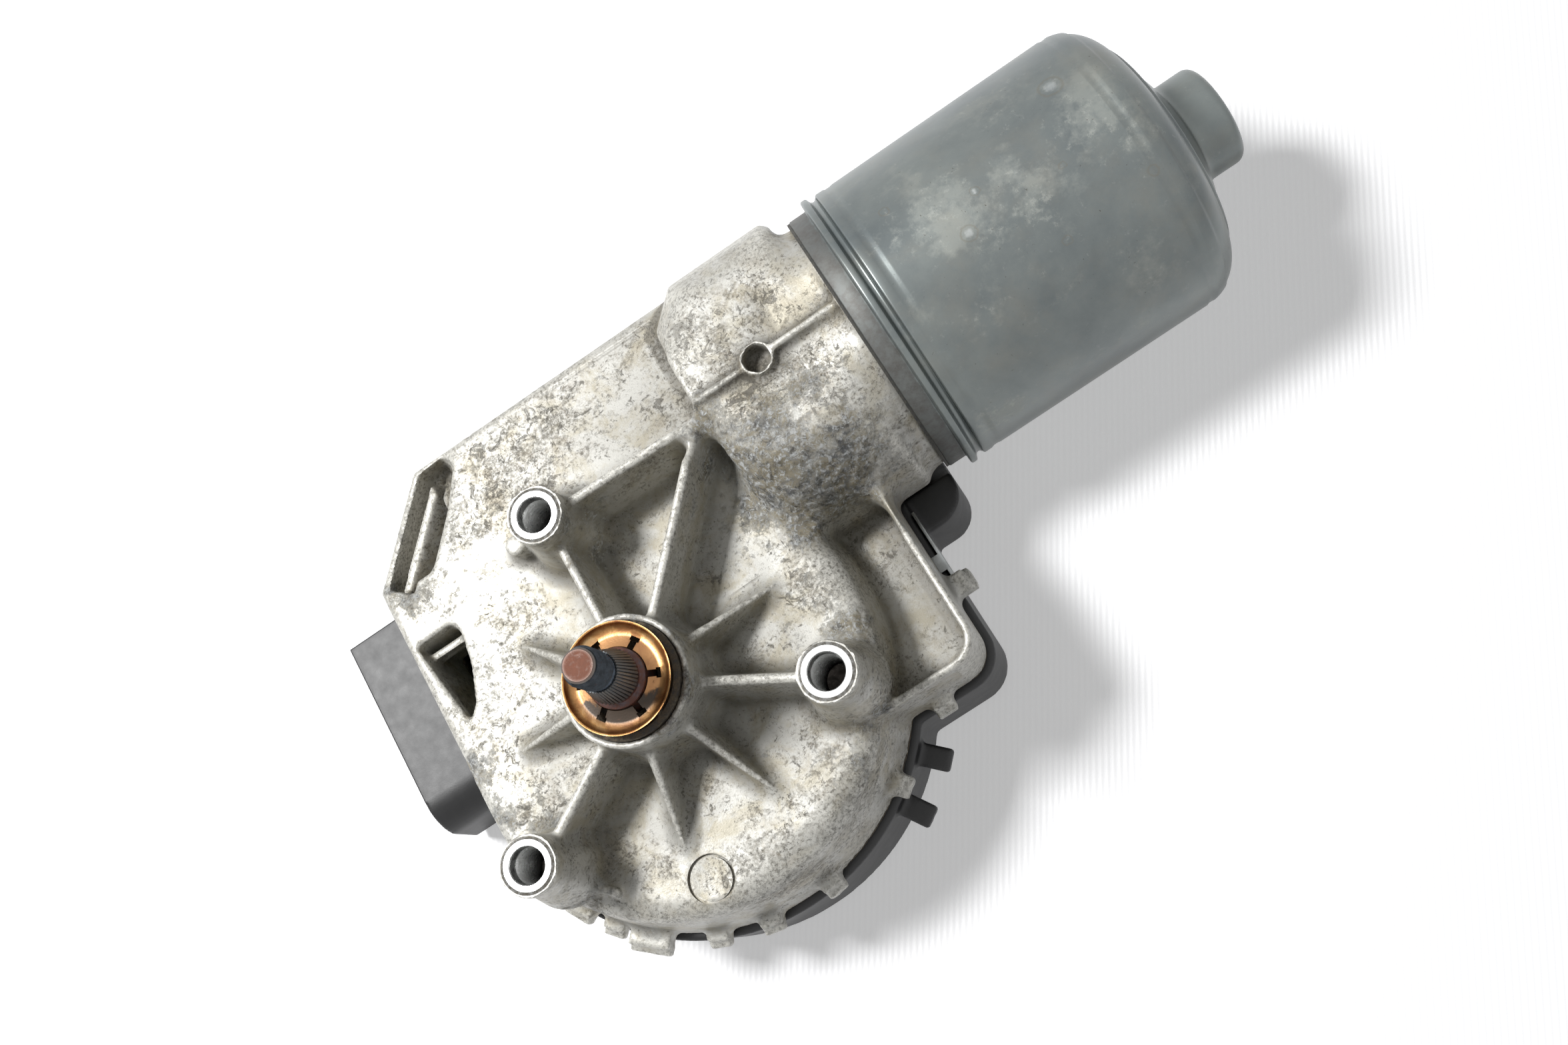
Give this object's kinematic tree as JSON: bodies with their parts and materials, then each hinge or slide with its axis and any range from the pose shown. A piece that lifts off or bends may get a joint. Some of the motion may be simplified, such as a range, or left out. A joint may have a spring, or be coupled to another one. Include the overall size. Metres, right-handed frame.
{
  "type": "wiper motor",
  "caption": "Ribbed die-cast worm-gear case with a drawn steel motor can, a threaded output shaft with cup washer, tapped bosses and a plastic electronics cover with a socket",
  "frame": {"origin": "output shaft axis at the plane of the three boss faces", "axes": "+X along the motor towards the bearing cap, +Z out of the output shaft, +Y towards the motor's side of the case"},
  "size_m": [0.2288, 0.1298, 0.0907],
  "materials": {
    "cast_alloy": "as cast, weathered",
    "can_steel": "plated and dulled",
    "shaft_steel": "dark, rust at the tip",
    "bronze_washer": "bright pressed",
    "cover_plastic": "moulded",
    "black_plastic": "moulded",
    "seal_rubber": "matte",
    "gasket": "matte",
    "sintered_bronze": "sintered",
    "plain_steel": "bright",
    "bearing_steel": "ground",
    "gear_plastic": "moulded",
    "magnet": "sintered ferrite",
    "lamination": "stacked sheet",
    "copper_wire": "enamelled",
    "copper_bars": "turned",
    "card_plastic": "laminated",
    "carbon": "pressed",
    "board": "lacquered",
    "can_film": "film sleeve",
    "tinned_brass": "tinned"
  },
  "bodies": {
    "case": {"gear_housing": "cast_alloy", "hub_bush_upper": "sintered_bronze", "hub_bush_lower": "sintered_bronze", "hub_seal": "seal_rubber", "motor_can": "can_steel", "can_gasket": "gasket", "field_magnet_1": "magnet", "field_magnet_2": "magnet", "field_magnet_3": "magnet", "field_magnet_4": "magnet", "magnet_clips": "plain_steel", "bearing_outer_ring": "bearing_steel", "bearing_retainer": "plain_steel", "worm_end_bush": "sintered_bronze", "worm_thrust_button": "gear_plastic", "rear_bearing": "sintered_bronze", "rear_bearing_clip": "plain_steel", "rear_thrust_button": "gear_plastic", "brush_card": "card_plastic", "brush_1": "carbon", "brush_2": "carbon", "brush_3": "carbon", "brush_springs": "plain_steel", "suppression_chokes": "magnet", "electronics_cover": "cover_plastic", "cover_seal": "seal_rubber", "cover_screws": "plain_steel", "circuit_board": "board", "park_relay": "black_plastic", "board_capacitor": "can_film", "control_chip": "black_plastic", "position_sensor": "black_plastic", "connector_blades": "tinned_brass", "motor_lead_bars": "tinned_brass", "ground_strip": "tinned_brass"},
    "output": {"output_shaft": "shaft_steel", "worm_wheel": "gear_plastic", "wheel_driver": "plain_steel", "sensor_magnet": "magnet", "cup_washer": "bronze_washer", "shaft_shim": "plain_steel"},
    "armature": {"armature_shaft": "plain_steel", "armature_core": "lamination", "armature_windings": "copper_wire", "commutator": "copper_bars", "bearing_inner_ring": "bearing_steel"},
    "balls": {"bearing_balls": "bearing_steel"}
  },
  "joints": [
    {"name": "output_spin", "type": "hinge", "parent": "case", "child": "output", "pos_m": [0, 0, 0], "axis": [0, 0, 1], "continuous": true},
    {"name": "armature_spin", "type": "hinge", "parent": "case", "child": "armature", "pos_m": [0, 0.043, -0.0325], "axis": [1, 0, 0], "continuous": true},
    {"name": "ball_orbit", "type": "hinge", "parent": "case", "child": "balls", "pos_m": [0.05, 0.043, -0.0325], "axis": [1, 0, 0], "continuous": true}
  ],
  "couplings": [
    {"joint": "output_spin", "follows": "armature_spin", "ratio": 0.015873},
    {"joint": "ball_orbit", "follows": "armature_spin", "ratio": 0.37}
  ]
}
